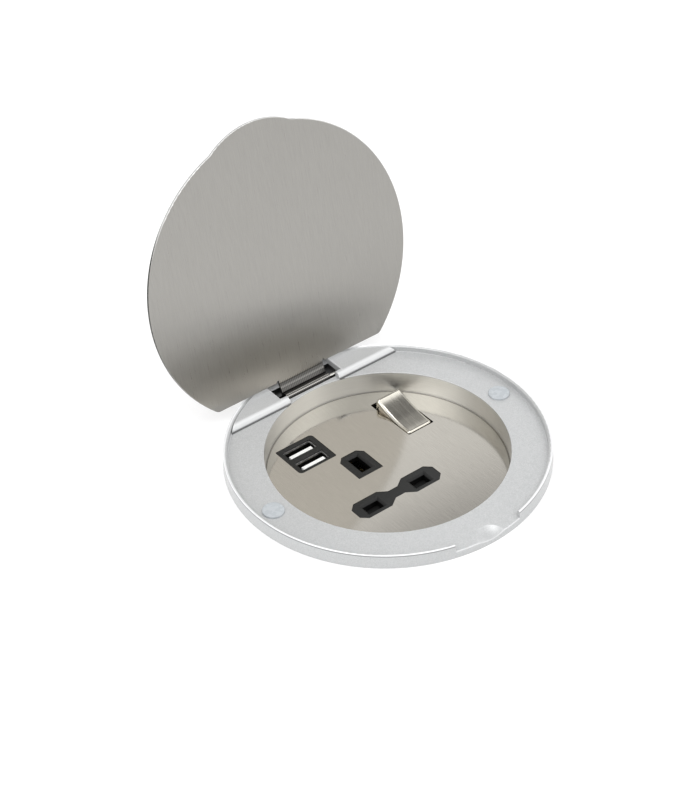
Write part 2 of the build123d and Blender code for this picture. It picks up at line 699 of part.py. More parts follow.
# ---------------------------------------------------------------------------
# 28-31 back box, its screws and the cable grommet
# ---------------------------------------------------------------------------
with BuildPart() as back_box:
    with BuildSketch(Plane.XY.offset(z_box_floor)):
        Circle(box_r_out)
    extrude(amount=-12.0 - z_box_floor)
    with BuildSketch(Plane.XY.offset(-12.0)):
        Circle(neck_r_out)
    extrude(amount=12.0 + z_neck)
    with BuildSketch(Plane.XY.offset(-14.5)):
        with PolarLocations(51.0, 3, start_angle=30):
            Circle(4.0)
        with PolarLocations(47.5, 3, start_angle=30):
            Rectangle(6.0, 8.0)
    extrude(amount=14.5 + z_neck)
    with BuildSketch(Plane.XY.offset(z_box_floor)):
        with Locations((49.5, 0), (-49.5, 0)):
            Rectangle(10.6, 9.0)
    extrude(amount=3.0)
    with BuildSketch(Plane.XY.offset(z_box_floor + 2.0)):
        Circle(box_r_in)
    extrude(amount=40, mode=Mode.SUBTRACT)
    with BuildSketch(Plane.XY.offset(-16)):
        with PolarLocations(51.0, 3, start_angle=30):
            Circle(1.7)
    extrude(amount=8, mode=Mode.SUBTRACT)
    with BuildSketch(Plane.XY.offset(z_box_floor)):
        with Locations((51.7, 0), (-51.7, 0)):
            Circle(2.05)
    extrude(amount=4, mode=Mode.SUBTRACT)
    with BuildSketch(Plane.XY.offset(z_box_floor)):
        with Locations((0, -28.0)):
            Circle(7.0)
    extrude(amount=4, mode=Mode.SUBTRACT)
back_box.part.label = "back_box"
export_step(back_box.part, "parts/back_box.step")

with BuildPart() as back_box_screws:
    with BuildSketch(Plane.XY.offset(-16.3)):
        with PolarLocations(51.0, 3, start_angle=30):
            Circle(2.7)
    extrude(amount=1.8)
    with BuildSketch(Plane.XY.offset(-14.5)):
        with PolarLocations(51.0, 3, start_angle=30):
            Circle(1.25)
    extrude(amount=13.0)
    with BuildSketch(Plane.XY.offset(-16.3)):
        with PolarLocations(51.0, 3, start_angle=30):
            Rectangle(3.4, 0.8)
            Rectangle(0.8, 3.4)
    extrude(amount=1.0, mode=Mode.SUBTRACT)
back_box_screws.part.label = "back_box_screws"
export_step(back_box_screws.part, "parts/back_box_screws.step")

with BuildPart() as cable_grommet:
    with BuildSketch(Plane.XZ):
        with BuildLine():
            Polyline((4.2, -47.5), (8.6, -46.6), (9.4, -44.0), (7.0, -44.0),
                     (7.0, -42.0), (9.4, -42.0), (9.0, -40.6), (4.2, -40.6), close=True)
        make_face()
    revolve(axis=Axis.Z)
cable_grommet_part = Pos(0, -28.0, 0) * cable_grommet.part
cable_grommet_part.label = "cable_grommet"
export_step(cable_grommet_part, "parts/cable_grommet.step")

# ---------------------------------------------------------------------------
# 32-36 panel clamps: a nut rides each screw, a lug swings out on the nut
# ---------------------------------------------------------------------------
with BuildPart() as clamp_screws:
    for cx in (51.7, -51.7):
        with BuildSketch(Plane.XY.offset(-43.9)):
            with Locations((cx, 0)):
                Circle(1.9)
        extrude(amount=45.0)
        with BuildSketch(Plane.XY.offset(-46.6)):
            with Locations((cx, 0)):
                Circle(3.3)
        extrude(amount=2.55)
        with BuildSketch(Plane.XY.offset(-46.6)):
            with Locations((cx, 0)):
                Rectangle(4.4, 1.0)
                Rectangle(1.0, 4.4)
        extrude(amount=1.4, mode=Mode.SUBTRACT)
        with BuildSketch(Plane.XY.offset(-44.5)):
            with Locations((cx, 0)):
                Circle(1.9)
        extrude(amount=1.0)
clamp_screws.part.label = "clamp_screws"
export_step(clamp_screws.part, "parts/clamp_screws.step")

for tag, sx in (("right", 1), ("left", -1)):
    cx = 51.7 * sx
    with BuildPart() as clamp_nut:
        with BuildSketch(Plane.XY.offset(-20.5)):
            with Locations((cx, 0)):
                Rectangle(6.2, 6.2)
        extrude(amount=2.5)
        with BuildSketch(Plane.XY.offset(-18.0)):
            with Locations((cx, 0)):
                Circle(2.55)
        extrude(amount=5.4)
        with BuildSketch(Plane.XY.offset(-21)):
            with Locations((cx, 0)):
                Circle(1.96)
        extrude(amount=12, mode=Mode.SUBTRACT)
    clamp_nut.part.label = f"clamp_nut_{tag}"
    export_step(clamp_nut.part, f"parts/clamp_nut_{tag}.step")
    with BuildPart() as clamp_lug:
        with BuildSketch(Plane.XY.offset(-17.9)):
            with Locations((cx, 0)):
                Circle(3.2)
            with Locations((cx, sx * 6.0)):
                Rectangle(4.0, 12.0)
        extrude(amount=4.9)
        with BuildSketch(Plane.XY.offset(-19)):
            with Locations((cx, 0)):
                Circle(2.62)
        extrude(amount=12, mode=Mode.SUBTRACT)
    clamp_lug.part.label = f"clamp_lug_{tag}"
    export_step(clamp_lug.part, f"parts/clamp_lug_{tag}.step")

# ---------------------------------------------------------------------------
# 37-40 hinge: two cover plates whose front edge is rolled over and runs on
# past the plate as a bar, pin, screws
# ---------------------------------------------------------------------------
for tag, sx in (("right", 1), ("left", -1)):
    with BuildPart() as cover:
        x0 = 14.6 if sx > 0 else -41.6
        back_y = 58.5
        with BuildSketch(Plane.YZ.offset(x0)):
            with BuildLine():
                Polyline((bar_y, cover_z - bar_r), (bar_y, z_seat), (back_y, z_seat),
                         (back_y, cover_z), (bar_y + bar_r, cover_z))
                ThreePointArc((bar_y + bar_r, cover_z),
                              (bar_y + bar_r * (1 - sqrt(0.5)),
                               cover_z - bar_r * (1 - sqrt(0.5))),
                              (bar_y, cover_z - bar_r))
            make_face()
        extrude(amount=27.0)
        # trimmed to the inside of the rim
        with BuildSketch(Plane.XY.offset(z_seat - 0.5)):
            Circle(cover_r)
        extrude(amount=4.0, mode=Mode.INTERSECT)
        side_edge = [e for e in cover.edges().filter_by(Axis.Y)
                     if e.center().Z > 5.0 and abs(abs(e.center().X) - 14.6) < 0.01]
        chamfer(side_edge, 0.25)
        # the rolled edge alone, towards the tongue
        x1 = 11.8 if sx > 0 else -15.4
        with BuildSketch(Plane.YZ.offset(x1)):
            with BuildLine():
                Polyline((bar_y, cover_z - bar_r), (bar_y, z_seat), (46.9, z_seat),
                         (46.9, cover_z), (bar_y + bar_r, cover_z))
                ThreePointArc((bar_y + bar_r, cover_z),
                              (bar_y + bar_r * (1 - sqrt(0.5)),
                               cover_z - bar_r * (1 - sqrt(0.5))),
                              (bar_y, cover_z - bar_r))
            make_face()
        extrude(amount=3.6)
        # key that keeps the pin in its groove
        with BuildSketch(Plane.XY.offset(2.56)):
            with Locations((sx * 16.6, ax_y)):
                Rectangle(2.6, 1.6)
        extrude(amount=1.0)
        with BuildSketch(Plane.XY.offset(z_seat - 0.2)):
            with Locations((sx * 20.6, 48.2), (sx * 26, 45.9)):
                Circle(1.05)
        extrude(amount=1.7, mode=Mode.SUBTRACT)
    cover.part.label = f"hinge_cover_{tag}"
    export_step(cover.part, f"parts/hinge_cover_{tag}.step")

with BuildPart() as hinge_pin:
    with BuildSketch(Plane.YZ.offset(-18.2)):
        with Locations((ax_y, ax_z)):
            Circle(pin_r)
    extrude(amount=36.4)
hinge_pin.part.label = "hinge_pin"
export_step(hinge_pin.part, "parts/hinge_pin.step")

with BuildPart() as hinge_cover_screws:
    spots = [(20.6, 48.2), (26, 45.9), (-20.6, 48.2), (-26, 45.9)]
    with BuildSketch(Plane.XY.offset(0.1)):
        with Locations(*spots):
            Circle(2.0)
    extrude(amount=1.1)
    with BuildSketch(Plane.XY.offset(1.2)):
        with Locations(*spots):
            Circle(1.0)
    extrude(amount=3.0)
    with BuildSketch(Plane.XY.offset(0.1)):
        with Locations(*spots):
            Rectangle(2.6, 0.6)
            Rectangle(0.6, 2.6)
    extrude(amount=0.6, mode=Mode.SUBTRACT)
hinge_cover_screws.part.label = "hinge_cover_screws"
export_step(hinge_cover_screws.part, "parts/hinge_cover_screws.step")

# 41-42 clear bumper discs on the ledge
for tag, cx, cy in (("right", 53.2, -2.2), ("left", -53.2, -0.7)):
    with BuildPart() as bumper:
        with BuildSketch(Plane.XY.offset(z_seat)):
            with Locations((cx, cy)):
                Circle(4.15)
        extrude(amount=0.75)
        fillet(bumper.edges().sort_by(Axis.Z)[-1], 0.4)
    bumper.part.label = f"lid_bumper_{tag}"
    export_step(bumper.part, f"parts/lid_bumper_{tag}.step")

# ---------------------------------------------------------------------------
# 43 lid: one stamped steel plate, its tongue rolled round the pin
# ---------------------------------------------------------------------------
al = radians(-open_deg)
lid_plane = Plane(origin=(0, ax_y, ax_z), x_dir=(1, 0, 0), z_dir=(0, -sin(al), cos(al)))
eye_plane = Plane(origin=(-tongue_half, ax_y, ax_z), x_dir=(0, cos(al), sin(al)),
                  z_dir=(1, 0, 0))
h0 = lid_z0 - ax_z
h1 = h0 + lid_t
# tongue: bent down from the flat edge, tangent to the outside of the eye
bx, bz = -5.6, h1
dist = sqrt(bx * bx + bz * bz)
ang = atan2(-bz, -bx) + asin(eye_r / dist)
run = sqrt(dist * dist - eye_r * eye_r)
tx_, tz_ = cos(ang), sin(ang)
nx_, nz_ = tz_, -tx_
if nz_ > 0:
    nx_, nz_ = -nx_, -nz_
c_pt = (bx + tx_ * run, bz + tz_ * run)
c_in = (c_pt[0] + nx_ * lid_t, c_pt[1] + nz_ * lid_t)
k = (bz + nz_ * lid_t - h0) / -tz_
b_in = (bx + nx_ * lid_t + tx_ * k, h0)
with BuildPart() as lid_plate:
    with BuildSketch(lid_plane.offset(h0)):
        with Locations((0, -ax_y)):
            Circle(lid_r)
        with Locations((tab_c * sin(radians(-tab_turn)),
                        tab_c * cos(radians(tab_turn)) - ax_y)):
            Circle(tab_r)
        with Locations((0, lid_chord - ax_y + 20)):
            Rectangle(140, 40, mode=Mode.SUBTRACT)
        verts = vertices()
        flat = [v for v in verts if abs(v.Y - (lid_chord - ax_y)) < 0.01 and abs(v.X) > 15]
        neck = [v for v in verts if v.Y < -ax_y - 40]
        if flat:
            fillet(flat, 3.0)
        if neck:
            fillet(neck, 7.0)
    extrude(amount=lid_t)
    faces_by_h = lid_plate.faces().filter_by(lambda f: f.area > 3000)
    for f in faces_by_h:
        fillet(f.outer_wire().edges(), 0.28)
    # relief slots beside the tongue
    with BuildSketch(lid_plane.offset(h0 - 1)):
        with Locations((0, lid_chord - ax_y + 4.0)):
            Rectangle(2 * tongue_half + 2.2, 10.0)
    extrude(amount=lid_t + 2, mode=Mode.SUBTRACT)
    with BuildSketch(eye_plane):
        Circle(eye_r)
        with BuildLine():
            Polyline((bx - 2.4, h1), (bx, bz), c_pt, c_in, b_in,
                     (bx - 2.4, h0), close=True)
        make_face()
        # rounded bends where the tongue leaves the plate
        outer = [v for v in vertices() if abs(v.X - bx) < 0.01 and abs(v.Y - bz) < 0.01]
        inner = [v for v in vertices()
                 if abs(v.X - b_in[0]) < 0.01 and abs(v.Y - b_in[1]) < 0.01]
        print("tongue bends", len(outer), len(inner))
        fillet(outer, 3.2)
        inner = [v for v in vertices()
                 if abs(v.X - b_in[0]) < 0.01 and abs(v.Y - b_in[1]) < 0.01]
        fillet(inner, 2.0)
        Circle(eye_bore, mode=Mode.SUBTRACT)
        # slit where the rolled end meets the tongue
        with Locations(Location((-1.45, 1.0), 0)):
            Rectangle(0.22, 1.6, mode=Mode.SUBTRACT)
    extrude(amount=2 * tongue_half)
lid_plate.part.label = "lid_plate"
export_step(lid_plate.part, "parts/lid_plate.step")

print("open angle", open_deg, "tongue slope", round(degrees(ang), 2),
      "pin pattern", (round(L_x, 2), out_y), (round(N_x, 2), out_y), (out_x, round(E_y, 2)))
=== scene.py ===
import json
import math

import bpy
from mathutils import Matrix, Vector


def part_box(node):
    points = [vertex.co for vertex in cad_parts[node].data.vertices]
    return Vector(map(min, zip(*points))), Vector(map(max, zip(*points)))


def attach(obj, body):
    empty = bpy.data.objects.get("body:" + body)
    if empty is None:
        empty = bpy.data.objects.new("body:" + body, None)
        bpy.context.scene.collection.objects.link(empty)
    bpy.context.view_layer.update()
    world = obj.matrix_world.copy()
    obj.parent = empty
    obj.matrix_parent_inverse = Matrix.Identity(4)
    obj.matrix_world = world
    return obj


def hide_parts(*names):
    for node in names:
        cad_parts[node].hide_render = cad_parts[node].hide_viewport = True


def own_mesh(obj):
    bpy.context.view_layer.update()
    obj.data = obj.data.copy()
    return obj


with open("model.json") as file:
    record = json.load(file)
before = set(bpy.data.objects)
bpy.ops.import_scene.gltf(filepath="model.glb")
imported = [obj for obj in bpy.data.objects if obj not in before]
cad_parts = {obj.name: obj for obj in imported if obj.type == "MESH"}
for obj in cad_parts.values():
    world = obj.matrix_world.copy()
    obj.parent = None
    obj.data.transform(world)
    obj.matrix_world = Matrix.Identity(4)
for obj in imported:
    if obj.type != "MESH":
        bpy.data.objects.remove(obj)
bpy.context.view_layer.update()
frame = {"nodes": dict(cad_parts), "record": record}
NODES = frame["nodes"]
MM = 0.001


# ---------------------------------------------------------------------------
# node helpers
# ---------------------------------------------------------------------------
class Mat:
    """A material under construction: short names for its nodes and links."""

    def __init__(self, name):
        self.mat = bpy.data.materials.new(name)
        self.mat.use_nodes = True
        self.nt = self.mat.node_tree
        self.bsdf = self.nt.nodes["Principled BSDF"]
        self.out = self.nt.nodes["Material Output"]
        self._coord = None

    def node(self, kind, **props):
        n = self.nt.nodes.new(kind)
        for k, v in props.items():
            setattr(n, k, v)
        return n

    def link(self, a, b):
        self.nt.links.new(a, b)

    def coord(self):
        if self._coord is None:
            self._coord = self.node("ShaderNodeTexCoord").outputs["Object"]
        return self._coord

    def mapped(self, scale=(1, 1, 1), rotation=(0, 0, 0), location=(0, 0, 0), source=None):
        m = self.node("ShaderNodeMapping")
        m.inputs["Scale"].default_value = scale
        m.inputs["Rotation"].default_value = rotation
        m.inputs["Location"].default_value = location
        self.link(source or self.coord(), m.inputs["Vector"])
        return m.outputs["Vector"]

    def noise(self, vector, scale=1.0, detail=3.0, rough=0.5):
        n = self.node("ShaderNodeTexNoise")
        n.inputs["Scale"].default_value = scale
        n.inputs["Detail"].default_value = detail
        n.inputs["Roughness"].default_value = rough
        self.link(vector, n.inputs["Vector"])
        return n.outputs["Fac"]

    def span(self, value, lo, hi, to_lo, to_hi):
        m = self.node("ShaderNodeMapRange")
        m.inputs["From Min"].default_value = lo
        m.inputs["From Max"].default_value = hi
        m.inputs["To Min"].default_value = to_lo
        m.inputs["To Max"].default_value = to_hi
        self.link(value, m.inputs["Value"])
        return m.outputs["Result"]

    def math(self, op, a, b=None):
        m = self.node("ShaderNodeMath", operation=op)
        for i, v in enumerate((a, b)):
            if v is None:
                continue
            if isinstance(v, (int, float)):
                m.inputs[i].default_value = v
            else:
                self.link(v, m.inputs[i])
        return m.outputs[0]

    def mix(self, fac, a, b, blend="MIX"):
        m = self.node("ShaderNodeMix", data_type="RGBA", blend_type=blend)
        for sock, v in ((m.inputs[0], fac), (m.inputs[6], a), (m.inputs[7], b)):
            if isinstance(v, (int, float)):
                sock.default_value = v
            elif isinstance(v, tuple):
                sock.default_value = (*v, 1.0) if len(v) == 3 else v
            else:
                self.link(v, sock)
        return m.outputs[2]

    def bump(self, height, strength, distance):
        b = self.node("ShaderNodeBump")
        b.inputs["Strength"].default_value = strength
        b.inputs["Distance"].default_value = distance
        self.link(height, b.inputs["Height"])
        self.link(b.outputs["Normal"], self.bsdf.inputs["Normal"])
        return b

    def set(self, **sockets):
        for k, v in sockets.items():
            s = self.bsdf.inputs[k.replace("_", " ")]
            if isinstance(v, (int, float)):
                s.default_value = v
            elif isinstance(v, tuple):
                s.default_value = (*v, 1.0) if len(v) == 3 and s.type == "RGBA" else v
            else:
                self.link(v, s)
        return self


def brushed(name, color, rough, along, fine=1.0, metallic=1.0, aniso=0.6, tint=0.05, painted_light_layer=None):
    """Brushed steel. along is a function that gives the texture vector, stretched
    along the grain, and the tangent vector of the grain. The last argument, a function (m, base),
    may add a last layer of painted light: painted shade in a seam, painted reflections on the lid's
    tongue."""
    m = Mat(name)
    vec, tangent = along(m, fine)
    streak = m.noise(vec, 1.0, 5.0, 0.65)
    broad = m.noise(m.coord(), 45.0, 2.0, 0.5)
    lo = tuple(c * (1 - tint) for c in color)
    hi = tuple(min(1.0, c * (1 + tint)) for c in color)
    base = m.mix(m.span(streak, 0.3, 0.7, 0.0, 1.0), lo, hi)
    base = m.mix(m.span(broad, 0.3, 0.7, 0.0, 0.12), base, tuple(c * 0.9 for c in color))
    if painted_light_layer:
        base = painted_light_layer(m, base)
    m.set(Base_Color=base, Metallic=metallic,
          Roughness=m.span(streak, 0.25, 0.75, rough * 0.82, rough * 1.18),
          Anisotropic=aniso)
    if tangent is not None:
        m.link(tangent, m.bsdf.inputs["Tangent"])
    m.bump(streak, 0.10, 0.00003)
    return m.mat


def world_tangent(m, direction):
    """A constant direction in the piece's own frame, given to the shader as a
    tangent."""
    c = m.node("ShaderNodeCombineXYZ")
    for i, v in enumerate(direction):
        c.inputs[i].default_value = v
    t = m.node("ShaderNodeVectorTransform", vector_type="VECTOR",
               convert_from="OBJECT", convert_to="WORLD")
    m.link(c.outputs[0], t.inputs[0])
    return t.outputs[0]


def grain_straight(rotation, scale, direction):
    def build(m, fine):
        rot = m.mapped(rotation=rotation)
        vec = m.mapped(scale=tuple(s * fine for s in scale), source=rot)
        return vec, world_tangent(m, direction)
    return build


def grain_round(m, fine):
    """Grain that runs round the Z axis: the texture vector is angle, height and x."""
    sep = m.node("ShaderNodeSeparateXYZ")
    m.link(m.coord(), sep.inputs[0])
    ang = m.math("ARCTAN2", sep.outputs[1], sep.outputs[0])
    c = m.node("ShaderNodeCombineXYZ")
    m.link(m.math("MULTIPLY", ang, 3.0), c.inputs[0])
    m.link(m.math("MULTIPLY", sep.outputs[2], 3500.0 * fine), c.inputs[1])
    m.link(m.math("MULTIPLY", sep.outputs[0], 40.0), c.inputs[2])
    return c.outputs[0], world_tangent(m, (0, 0, 1))


# ---------------------------------------------------------------------------
# materials
# ---------------------------------------------------------------------------
def silver_paint():
    """Silver paint with a fine grain. The pockets beside the lid's tongue, where light
    doesn't reach, are darkened with painted shade."""
    m = Mat("silver_paint")
    grain = m.noise(m.coord(), 2600.0, 4.0, 0.6)
    cloud = m.noise(m.coord(), 420.0, 3.0, 0.55)
    base = m.mix(m.span(grain, 0.32, 0.68, 0.0, 1.0), (0.405, 0.412, 0.415), (0.535, 0.542, 0.545))
    base = m.mix(m.span(cloud, 0.35, 0.7, 0.0, 0.22), base, (0.415, 0.422, 0.425))
    sep = m.node("ShaderNodeSeparateXYZ")
    m.link(m.coord(), sep.inputs[0])
    x, y, z = sep.outputs
    ax = m.math("ABSOLUTE", x)
    r = m.math("SQRT", m.math("ADD", m.math("MULTIPLY", x, x), m.math("MULTIPLY", y, y)))

    def both(*masks):
        out = masks[0]
        for mask in masks[1:]:
            out = m.math("MULTIPLY", out, mask)
        return out

    # painted shade: the pockets beside the tongue are darkened nearly to black
    pocket_shade = both(m.math("LESS_THAN", ax, 14.7 * MM), m.math("GREATER_THAN", y, 47.0 * MM),
                  m.math("LESS_THAN", y, 55.95 * MM), m.math("LESS_THAN", z, 2.8 * MM))
    base = m.mix(pocket_shade, base, (0.02, 0.02, 0.02))
    # the covers' rolled front edges are painted bright, a painted highlight, and so is the edge
    # of each cover beside the tongue; a painted shadow lies in the joint under the roll
    # painted highlight on the rolled front edges of the covers and on their edges beside the tongue
    roll = both(m.math("GREATER_THAN", ax, 11.7 * MM), m.math("GREATER_THAN", y, 44.05 * MM),
                m.span(y, 45.7 * MM, 46.5 * MM, 1.0, 0.0), m.math("GREATER_THAN", z, 3.9 * MM),
                m.math("LESS_THAN", r, 59.3 * MM))
    side_highlight = both(m.math("GREATER_THAN", ax, 14.4 * MM), m.math("LESS_THAN", ax, 15.0 * MM),
                m.math("GREATER_THAN", y, 46.0 * MM), m.math("GREATER_THAN", z, 5.0 * MM),
                m.math("LESS_THAN", r, 59.3 * MM))
    base = m.mix(m.math("MULTIPLY", m.math("MAXIMUM", roll, side_highlight), 0.9), base, (0.58, 0.586, 0.59))
    # painted shadow: a dark line in the joint under the roll
    joint_shadow = both(m.math("GREATER_THAN", ax, 11.6 * MM), m.math("GREATER_THAN", y, 43.85 * MM),
                 m.math("LESS_THAN", y, 44.3 * MM), m.math("LESS_THAN", z, 3.6 * MM),
                 m.math("LESS_THAN", r, 59.3 * MM))
    base = m.mix(m.math("MULTIPLY", joint_shadow, 0.75), base, (0.05, 0.05, 0.05))
    # the rim's crest is painted bright, a painted highlight, with a fine painted line of shade just under
    # it outside
    crest_highlight = m.span(z, 5.43 * MM, 5.54 * MM, 0.0, 1.0)
    base = m.mix(both(crest_highlight, m.math("GREATER_THAN", r, 60.1 * MM)), base, (0.77, 0.775, 0.785))
    # painted shade: a dark line just under the crest, on the outer wall
    crest_shade_line = both(m.math("GREATER_THAN", r, 61.0 * MM), m.span(z, 4.9 * MM, 5.05 * MM, 0.0, 1.0),
                m.span(z, 5.3 * MM, 5.4 * MM, 1.0, 0.0))
    base = m.mix(m.math("MULTIPLY", crest_shade_line, 0.7), base, (0.12, 0.12, 0.12))
    # in the gap for the lid's tab the ledge's outer edge is painted bright instead, a painted highlight,
    # and the painted highlight line dips with the finger scoop
    highlight_dip = m.span(m.math("ABSOLUTE", m.math("ADD", x, 2.1 * MM)), 2.0 * MM, 5.8 * MM, 1.7 * MM, 2.45 * MM)
    edge = both(m.math("GREATER_THAN", r, 60.95 * MM), m.math("GREATER_THAN", z, highlight_dip),
                m.math("LESS_THAN", z, 3.0 * MM), m.math("LESS_THAN", y, -50.0 * MM),
                m.math("GREATER_THAN", x, -16.9 * MM), m.math("LESS_THAN", x, 11.9 * MM))
    base = m.mix(m.math("MULTIPLY", edge, 0.3), base, (0.86, 0.86, 0.87))
    m.set(Base_Color=base, Metallic=0.32, Roughness=m.span(grain, 0.3, 0.7, 0.36, 0.48))
    m.bsdf.inputs["Coat Weight"].default_value = 0.6
    m.bsdf.inputs["Coat Roughness"].default_value = 0.22
    m.bump(grain, 0.25, 0.00006)
    return m.mat


def plastic(name, color, rough=0.45, grain=900.0, strength=0.06, spec=0.5, worn=None, deep=None):
    """Moulded plastic. deep = (height in mm, factor) darkens it below that height,
    inside the mouths, where little light gets."""
    m = Mat(name)
    fine = m.noise(m.coord(), grain, 4.0, 0.6)
    broad = m.noise(m.coord(), 90.0, 2.0, 0.5)
    base = m.mix(m.span(fine, 0.3, 0.7, 0.0, 1.0), tuple(c * 0.94 for c in color),
                 tuple(min(1.0, c * 1.06) for c in color))
    base = m.mix(m.span(broad, 0.4, 0.7, 0.0, 0.15), base, worn or tuple(c * 0.85 for c in color))
    if deep:
        sep = m.node("ShaderNodeSeparateXYZ")
        m.link(m.coord(), sep.inputs[0])
        low = m.span(sep.outputs[2], (deep[0] - 0.25) * MM, deep[0] * MM, 1.0, 0.0)
        base = m.mix(low, base, tuple(c * deep[1] for c in color))
    m.set(Base_Color=base, Roughness=m.span(fine, 0.3, 0.7, rough * 0.88, rough * 1.12))
    m.bsdf.inputs["Specular IOR Level"].default_value = spec
    m.bump(fine, strength, 0.00005)
    return m.mat


def clear_silicone():
    m = Mat("clear_silicone")
    fine = m.noise(m.coord(), 500.0, 3.0, 0.5)
    m.set(Base_Color=m.mix(m.span(fine, 0.3, 0.7, 0.0, 1.0), (0.37, 0.395, 0.415), (0.42, 0.445, 0.465)),
          Roughness=m.span(fine, 0.3, 0.7, 0.22, 0.32))
    m.bump(fine, 0.04, 0.00004)
    return m.mat


def plain_metal(name, color, rough=0.3, tint=0.06, grain=700.0, deep=None):
    """Plain bright metal. deep = (height in mm, factor) darkens it below that height, a painted shade
    where little light gets.
    """
    m = Mat(name)
    fine = m.noise(m.coord(), grain, 4.0, 0.6)
    base = m.mix(m.span(fine, 0.3, 0.7, 0.0, 1.0), tuple(c * (1 - tint) for c in color),
                 tuple(min(1.0, c * (1 + tint)) for c in color))
    if deep:
        sep = m.node("ShaderNodeSeparateXYZ")
        m.link(m.coord(), sep.inputs[0])
        low = m.span(sep.outputs[2], (deep[0] - 0.3) * MM, deep[0] * MM, 1.0, 0.0)
        base = m.mix(low, base, tuple(c * deep[1] for c in color))
    m.set(Base_Color=base, Metallic=1.0, Roughness=m.span(fine, 0.3, 0.7, rough * 0.8, rough * 1.2))
    m.bump(fine, 0.05, 0.00004)
    return m.mat


def seam_shade(m, base):
    """Painted shade in the seam between the plate and the wall of the well."""
    sep = m.node("ShaderNodeSeparateXYZ")
    m.link(m.coord(), sep.inputs[0])
    r2 = m.math("ADD", m.math("MULTIPLY", sep.outputs[0], sep.outputs[0]),
                m.math("MULTIPLY", sep.outputs[1], sep.outputs[1]))
    r = m.math("SQRT", r2)
    return m.mix(m.span(r, 45.42 * MM, 45.52 * MM, 0.0, 0.6), base, (0.10, 0.095, 0.09))


def ramp(m, value, stops):
    """Grey ramp over a value: stops are (position from 0 to 1, level)."""
    n = m.node("ShaderNodeValToRGB")
    n.color_ramp.interpolation = "LINEAR"
    while len(n.color_ramp.elements) < len(stops):
        n.color_ramp.elements.new(0.5)
    for el, (at, level) in zip(n.color_ramp.elements, stops):
        el.position = at
        el.color = (level, level, level, 1.0)
    m.link(value, n.inputs[0])
    return n.outputs[0]


def tongue_reflections(m, base):
    """The lid's tongue is rolled at the hinge; its light and dark reflection bands are painted
    in as bands of grey, with fine painted ribs across them."""
    sep = m.node("ShaderNodeSeparateXYZ")
    m.link(m.coord(), sep.inputs[0])
    x, y, z = sep.outputs
    up = ramp(m, m.span(z, 3.0 * MM, 8.0 * MM, 0.0, 1.0),
              [(0.06, 0.12), (0.10, 0.42), (0.30, 0.42), (0.36, 0.30), (0.40, 0.72), (0.50, 0.66),
               (0.56, 0.34), (0.78, 0.34), (0.84, 0.8), (0.95, 1.0)])
    out = ramp(m, m.span(y, 47.7 * MM, 51.7 * MM, 0.0, 1.0),
               [(0.04, 0.4), (0.08, 0.15), (0.14, 0.15), (0.17, 1.0), (0.22, 1.0), (0.25, 0.2),
                (0.33, 0.2), (0.37, 0.65), (0.42, 0.65), (0.47, 0.14), (0.9, 0.14)])
    near = m.math("LESS_THAN", y, 51.25 * MM)
    level = m.mix(near, up, out)
    ribs = m.math("SINE", m.math("MULTIPLY", x, 2 * math.pi / (0.8 * MM)))
    ribs = m.span(ribs, -1.0, 1.0, 0.72, 1.28)
    here = m.math("MULTIPLY", m.math("LESS_THAN", m.math("ABSOLUTE", x), 11.45 * MM),
                  m.math("LESS_THAN", z, 7.8 * MM))
    level = m.mix(1.0, level, ribs, "MULTIPLY")
    level = m.mix(here, (1.0, 1.0, 1.0), level)
    base = m.mix(1.0, base, level, "MULTIPLY")
    # the lid's edge faces are painted by the way they face: a painted highlight along the top, painted
    # shade on the left side
    edge_facing = m.node("ShaderNodeSeparateXYZ")
    m.link(m.node("ShaderNodeTexCoord").outputs["Normal"], edge_facing.inputs[0])
    high = m.math("GREATER_THAN", z, 9.0 * MM)
    top = m.math("MULTIPLY", m.span(edge_facing.outputs[2], 0.3, 0.6, 0.0, 1.0), high)
    left_edge_shade = m.math("MULTIPLY", m.span(edge_facing.outputs[0], -0.9, -0.76, 1.0, 0.0), high)
    base = m.mix(top, base, (0.60, 0.60, 0.59))
    return m.mix(left_edge_shade, base, (0.05, 0.048, 0.045))


